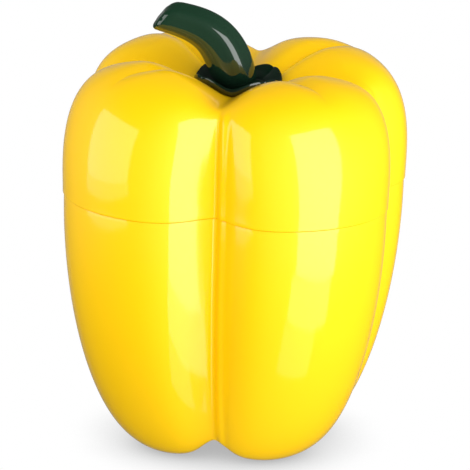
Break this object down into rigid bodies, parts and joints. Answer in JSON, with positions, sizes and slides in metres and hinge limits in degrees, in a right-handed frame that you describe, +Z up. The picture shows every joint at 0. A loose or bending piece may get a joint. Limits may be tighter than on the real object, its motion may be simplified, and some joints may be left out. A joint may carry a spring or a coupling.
{
  "type": "pepper keeper",
  "caption": "Glossy bell-pepper-shaped food keeper: a lobed cup, a lobed lid that lifts off a lapped rim, and a green stem to pull it by.",
  "frame": {"origin": "on the table, under the middle of the lobed body", "axes": "+Z up. The four valleys lie close to +X, -X, +Y and -Y and the lobes on the diagonals between them. The front of the picture is near -Y, and the stem leans to -X."},
  "size_m": [0.1054, 0.1054, 0.1444],
  "materials": {
    "yellow_plastic": "gloss",
    "green_plastic": "gloss"
  },
  "bodies": {
    "cup_body": {"base_cup": "yellow_plastic"},
    "lid_body": {"lid": "yellow_plastic", "stem": "green_plastic"}
  },
  "joints": [
    {"name": "lid_lift", "type": "slide", "parent": "cup_body", "child": "lid_body", "axis": [0, 0, 1], "range_m": [0, 0.08]}
  ]
}
